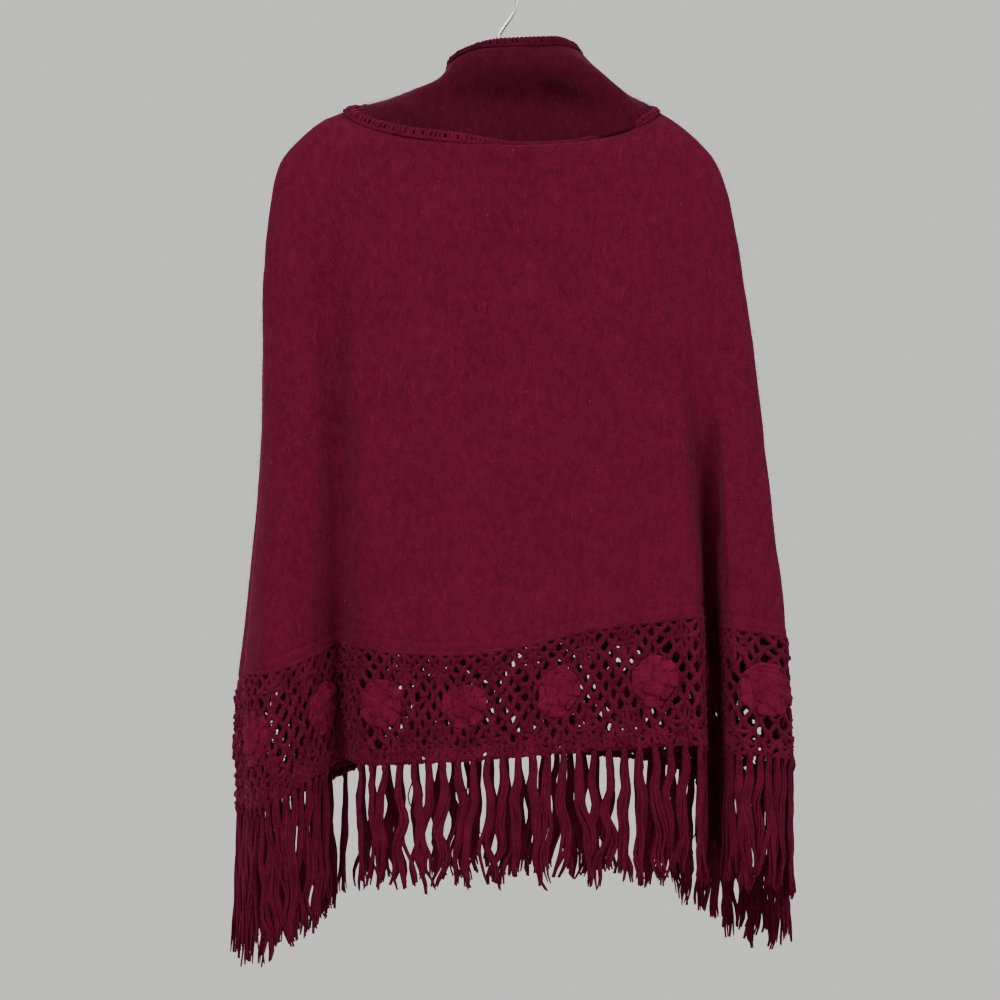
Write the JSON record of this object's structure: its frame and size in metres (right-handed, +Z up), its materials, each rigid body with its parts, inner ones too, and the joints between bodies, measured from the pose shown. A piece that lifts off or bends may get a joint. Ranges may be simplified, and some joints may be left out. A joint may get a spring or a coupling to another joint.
{
  "type": "fringed poncho on a wire hanger",
  "caption": "Bell-shaped alpaca poncho with slumped funnel collar, crocheted flower lace border and knotted fringe, hanging open on a wire hanger.",
  "frame": {"origin": "inside of the hanger's hook, where it rests on a rail", "axes": "+Z up; -Y out of the garment's front; +X to the right as seen from the front"},
  "size_m": [0.5608, 0.1555, 0.9959],
  "materials": {
    "alpaca_cloth": "brushed, fuzzy, matt with a soft sheen",
    "crochet_lace": "twisted alpaca yarn, matt",
    "fringe_yarn": "loose twisted alpaca yarn, matt",
    "wire": "bright plated steel wire"
  },
  "bodies": {
    "root": {"poncho_body": "alpaca_cloth", "collar": "alpaca_cloth", "neck_trim": "crochet_lace", "collar_rim_trim": "crochet_lace", "lace_front": "crochet_lace", "lace_back": "crochet_lace", "fringe": "fringe_yarn", "hanger_wire": "wire"}
  },
  "joints": []
}
